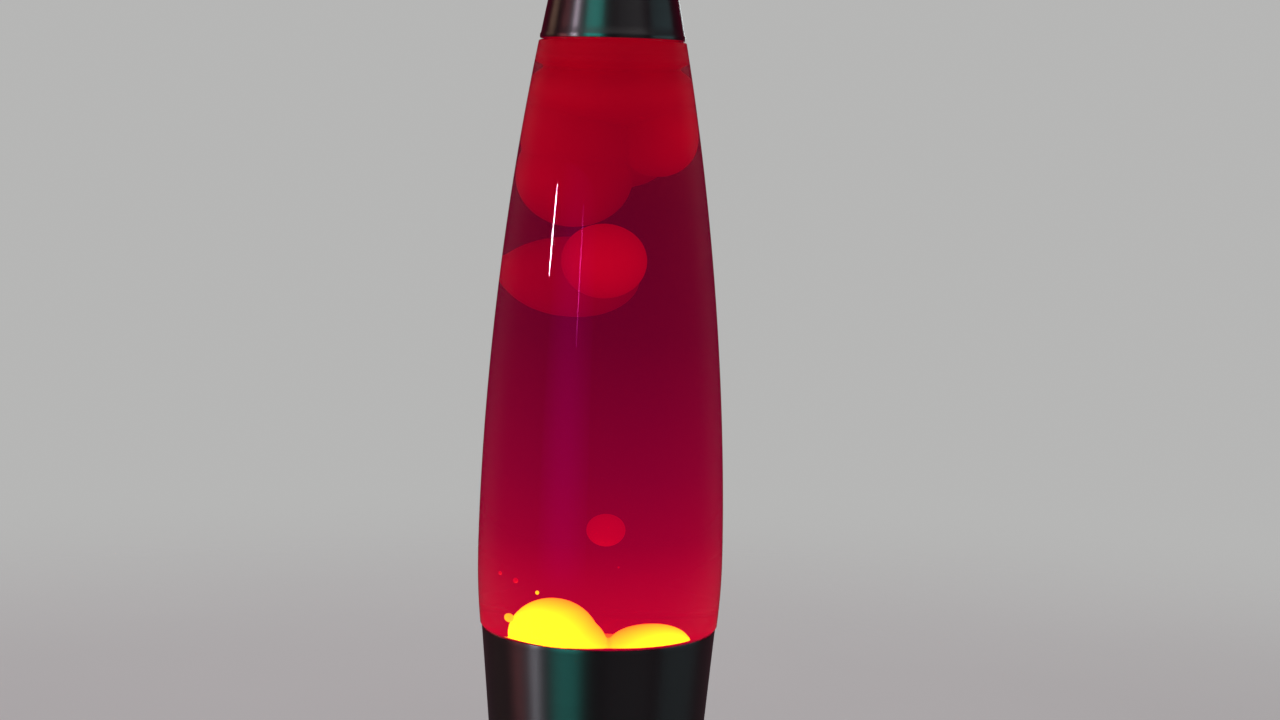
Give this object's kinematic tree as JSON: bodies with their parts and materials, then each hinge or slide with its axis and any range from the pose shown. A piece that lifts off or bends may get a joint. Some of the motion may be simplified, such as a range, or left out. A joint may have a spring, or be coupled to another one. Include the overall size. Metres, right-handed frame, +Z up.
{
  "type": "lava lamp",
  "caption": "Table lamp with a sealed tapered glass bottle of purple liquid and drifting wax, under a spun metal cap, on an hourglass metal base that hides its bulb.",
  "frame": {"origin": "centre of the lamp's footprint, on the table that its rubber feet stand on", "axes": "+Z up along the lamp's axis, -Y towards the front, +Y towards the cord inlet, +X to the right seen from the front"},
  "size_m": [0.11, 0.11, 0.4],
  "materials": {
    "brushed_aluminium": "brushed round the axis",
    "clear_glass": "polished",
    "purple_liquid": "clear, strongly dyed",
    "yellow_wax": "glowing wax",
    "red_wax": "satin wax",
    "steel_wire": "bright drawn",
    "crown_steel": "gold lacquer",
    "seal_liner": "matte",
    "frosted_glass": "frosted",
    "nickel": "nickel plated",
    "black_vitrite": "glassy",
    "cream_ceramic": "unglazed",
    "brass": "stamped",
    "zinc_steel": "zinc plated",
    "white_plastic": "moulded",
    "brown_insulation": "extruded",
    "blue_insulation": "extruded",
    "green_insulation": "extruded, with a yellow stripe",
    "black_rubber": "moulded"
  },
  "bodies": {
    "base": {"base_upper_cone": "brushed_aluminium", "base_foot_cone": "brushed_aluminium", "bottle_seat": "zinc_steel", "bottom_plate": "zinc_steel", "rubber_foot_1": "black_rubber", "rubber_foot_2": "black_rubber", "rubber_foot_3": "black_rubber", "rubber_foot_4": "black_rubber", "cord_grommet": "black_rubber", "waist_screw_1": "zinc_steel", "waist_screw_2": "zinc_steel", "waist_screw_3": "zinc_steel", "waist_nut_1": "zinc_steel", "waist_nut_2": "zinc_steel", "waist_nut_3": "zinc_steel", "plate_screw_1": "zinc_steel", "plate_screw_2": "zinc_steel", "plate_screw_3": "zinc_steel", "lampholder_bracket": "zinc_steel", "bracket_screw_1": "zinc_steel", "bracket_screw_2": "zinc_steel", "bracket_nut_1": "zinc_steel", "bracket_nut_2": "zinc_steel", "holder_nipple": "zinc_steel", "holder_locknut": "zinc_steel", "lampholder_body": "cream_ceramic", "lampholder_sleeve": "brass", "lampholder_contact": "brass", "terminal_block": "white_plastic", "terminal_screw_1": "zinc_steel", "terminal_screw_2": "zinc_steel", "terminal_screw_3": "zinc_steel", "lead_live": "brown_insulation", "lead_neutral": "blue_insulation", "lead_earth": "green_insulation", "earth_tag": "brass", "earth_screw": "zinc_steel"},
    "bottle": {"glass_bottle": "clear_glass", "liquid_fill": "purple_liquid", "crown_closure": "crown_steel", "crown_seal": "seal_liner", "heat_coil": "steel_wire", "wax_pool": "yellow_wax"},
    "cap": {"cap_shell": "brushed_aluminium"},
    "bulb_foot": {"bulb_contact": "nickel"},
    "bulb": {"bulb_envelope": "frosted_glass", "bulb_screw_shell": "nickel", "bulb_insulator": "black_vitrite", "bulb_stem": "clear_glass", "bulb_filament": "steel_wire"},
    "riser": {"wax_riser": "red_wax"},
    "bead": {"wax_bead": "red_wax"},
    "front_blob": {"wax_blob_front": "red_wax"},
    "back_blob": {"wax_blob_back": "red_wax"},
    "top_mass": {"wax_top_mass": "red_wax"}
  },
  "joints": [
    {"name": "bottle_lift", "type": "slide", "parent": "base", "child": "bottle", "axis": [0, 0, 1], "range_m": [0, 0.08]},
    {"name": "cap_lift", "type": "slide", "parent": "bottle", "child": "cap", "axis": [0, 0, 1], "range_m": [0, 0.05]},
    {"name": "bulb_rise", "type": "slide", "parent": "base", "child": "bulb_foot", "axis": [0, 0, 1], "range_m": [0, 0.0128]},
    {"name": "bulb_turn", "type": "hinge", "parent": "bulb_foot", "child": "bulb", "pos_m": [0, 0, 0.0235], "axis": [0, 0, 1], "range_deg": [0, 1620]},
    {"name": "riser_drift", "type": "slide", "parent": "bottle", "child": "riser", "axis": [0, 0, 1], "range_m": [-0.012, 0.04]},
    {"name": "bead_drift", "type": "slide", "parent": "bottle", "child": "bead", "axis": [0, 0, 1], "range_m": [0, 0.045]},
    {"name": "front_blob_drift", "type": "slide", "parent": "bottle", "child": "front_blob", "axis": [0, 0, 1], "range_m": [-0.025, 0.002]},
    {"name": "back_blob_drift", "type": "slide", "parent": "bottle", "child": "back_blob", "axis": [0, 0, 1], "range_m": [-0.025, 0.001]},
    {"name": "top_mass_sink", "type": "slide", "parent": "bottle", "child": "top_mass", "axis": [0, 0, 1], "range_m": [-0.002, 0]}
  ],
  "couplings": [
    {"joint": "bulb_rise", "follows": "bulb_turn", "m_per_rad": 0.00044882}
  ]
}
